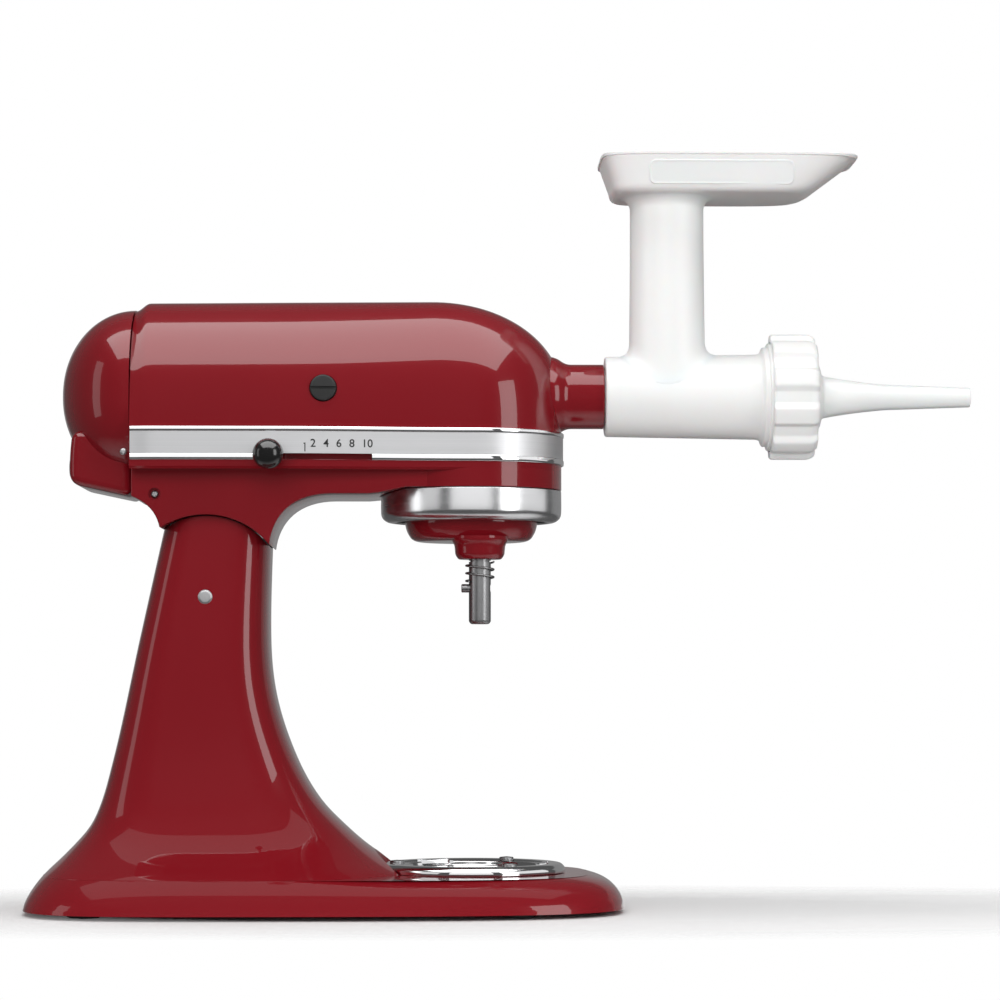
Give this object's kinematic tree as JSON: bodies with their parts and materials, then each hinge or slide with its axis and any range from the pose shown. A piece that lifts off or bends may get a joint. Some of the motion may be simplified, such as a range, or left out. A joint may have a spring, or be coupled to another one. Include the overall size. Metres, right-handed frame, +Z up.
{
  "type": "electric meat grinder",
  "caption": "Tilt-head kitchen machine with a meat grinding and stuffing attachment on its front hub: geared motor head, planetary beater shaft, pedestal, tray, auger and nozzle.",
  "frame": {"origin": "on the table, below the middle of the whole length, in the machine's centre plane", "axes": "+Z up, +X along the motor and hub axis towards the nozzle, -Y the side with the speed lever"},
  "size_m": [0.5506, 0.2, 0.4386],
  "materials": {
    "red_enamel": "deep glossy red enamel over a zinc casting",
    "chrome": "polished chrome plate",
    "satin_metal": "satin aluminium",
    "steel": "machined steel",
    "bare_casting": "bare cast metal, inside",
    "white_plastic": "off-white food-grade plastic, satin",
    "black_plastic": "glossy black plastic",
    "rubber": "black rubber",
    "copper": "copper",
    "carbon": "carbon block",
    "brass": "bronze or brass",
    "laminate": "stacked steel sheet"
  },
  "bodies": {
    "stand": {"base_casting": "red_enamel", "column": "red_enamel", "bowl_clamp_plate": "chrome", "clamp_screw_1": "steel", "clamp_screw_2": "steel", "clamp_screw_3": "steel", "column_bolt_1": "steel", "column_bolt_2": "steel", "foot_1": "rubber", "foot_2": "rubber", "foot_3": "rubber", "foot_4": "rubber", "foot_5": "rubber", "hinge_pin": "satin_metal"},
    "head": {"head_casing": "red_enamel", "trim_band": "chrome", "end_cover": "red_enamel", "cord_grommet": "rubber", "stator_core": "laminate", "field_coils": "copper", "front_bearing": "steel", "rear_bearing": "steel", "motor_bulkhead": "bare_casting", "rear_bearing_bracket": "bare_casting", "carbon_brush_right": "carbon", "carbon_brush_left": "carbon", "brush_cap_right": "black_plastic", "brush_cap_left": "black_plastic", "transmission_plate": "bare_casting", "lower_gearcase": "bare_casting", "ring_gear": "steel", "drip_ring": "chrome"},
    "armature": {"armature_shaft": "steel", "rotor_core": "laminate", "commutator": "copper", "cooling_fan": "black_plastic", "governor": "brass"},
    "worm_gear": {"worm_wheel": "brass", "pinion_shaft": "steel"},
    "planetary_hub": {"centre_gear": "steel", "centre_bevel": "steel", "centre_shaft": "steel", "planetary": "red_enamel"},
    "beater": {"planet_pinion": "steel", "beater_shaft": "steel", "beater_pin": "steel", "beater_spring": "steel"},
    "hub_drive": {"hub_shaft": "steel"},
    "speed_control": {"speed_lever": "steel", "speed_knob": "black_plastic"},
    "tilt_lock": {"lock_lever": "steel", "lock_knob": "black_plastic"},
    "hub_screw": {"hub_knob": "black_plastic"},
    "grinder": {"grinder_body": "white_plastic", "grinding_plate": "steel"},
    "tray": {"hopper_tray": "white_plastic"},
    "auger_set": {"auger": "white_plastic", "knife": "steel"},
    "stuffer": {"stuffer_tube": "white_plastic"},
    "nut": {"ring_nut": "white_plastic"}
  },
  "joints": [
    {"name": "head_tilt", "type": "hinge", "parent": "stand", "child": "head", "pos_m": [-0.1705, 0, 0.1805], "axis": [0, -1, 0], "range_deg": [0, 50]},
    {"name": "armature_spin", "type": "hinge", "parent": "head", "child": "armature", "pos_m": [-0.15, 0, 0.299], "axis": [1, 0, 0], "continuous": true},
    {"name": "worm_wheel_spin", "type": "hinge", "parent": "head", "child": "worm_gear", "pos_m": [-0.06801, 0.02575, 0.299], "axis": [0, 0, 1], "continuous": true},
    {"name": "planetary_spin", "type": "hinge", "parent": "head", "child": "planetary_hub", "pos_m": [-0.018, 0, 0.24], "axis": [0, 0, 1], "continuous": true},
    {"name": "beater_spin", "type": "hinge", "parent": "planetary_hub", "child": "beater", "pos_m": [-0.01328, -0.02475, 0.21], "axis": [0, 0, 1], "continuous": true},
    {"name": "hub_spin", "type": "hinge", "parent": "head", "child": "hub_drive", "pos_m": [0.02, 0, 0.299], "axis": [1, 0, 0], "continuous": true},
    {"name": "auger_spin", "type": "hinge", "parent": "grinder", "child": "auger_set", "pos_m": [0.11, 0, 0.299], "axis": [1, 0, 0], "continuous": true},
    {"name": "speed_slide", "type": "slide", "parent": "head", "child": "speed_control", "axis": [1, 0, 0], "range_m": [0, 0.054]},
    {"name": "lock_slide", "type": "slide", "parent": "head", "child": "tilt_lock", "axis": [1, 0, 0], "range_m": [0, 0.018]},
    {"name": "hub_screw_turn", "type": "hinge", "parent": "head", "child": "hub_screw", "pos_m": [0.047, 0.028, 0.299], "axis": [0, 1, 0], "range_deg": [0, 720]},
    {"name": "grinder_pull", "type": "slide", "parent": "head", "child": "grinder", "axis": [1, 0, 0], "range_m": [0, 0.06]},
    {"name": "tray_lift", "type": "slide", "parent": "grinder", "child": "tray", "axis": [0, 0, 1], "range_m": [0, 0.04]},
    {"name": "stuffer_slide", "type": "slide", "parent": "grinder", "child": "stuffer", "axis": [1, 0, 0], "range_m": [0, 0.0125]},
    {"name": "nut_turn", "type": "hinge", "parent": "stuffer", "child": "nut", "pos_m": [0.17, 0, 0.299], "axis": [1, 0, 0], "range_deg": [0, 1440]}
  ],
  "couplings": [
    {"joint": "worm_wheel_spin", "follows": "armature_spin", "ratio": -0.05},
    {"joint": "planetary_spin", "follows": "armature_spin", "ratio": 0.018182},
    {"joint": "beater_spin", "follows": "armature_spin", "ratio": -0.054545},
    {"joint": "hub_spin", "follows": "armature_spin", "ratio": 0.027273},
    {"joint": "auger_spin", "follows": "armature_spin", "ratio": 0.027273},
    {"joint": "stuffer_slide", "follows": "nut_turn", "m_per_rad": 0.00047746}
  ]
}
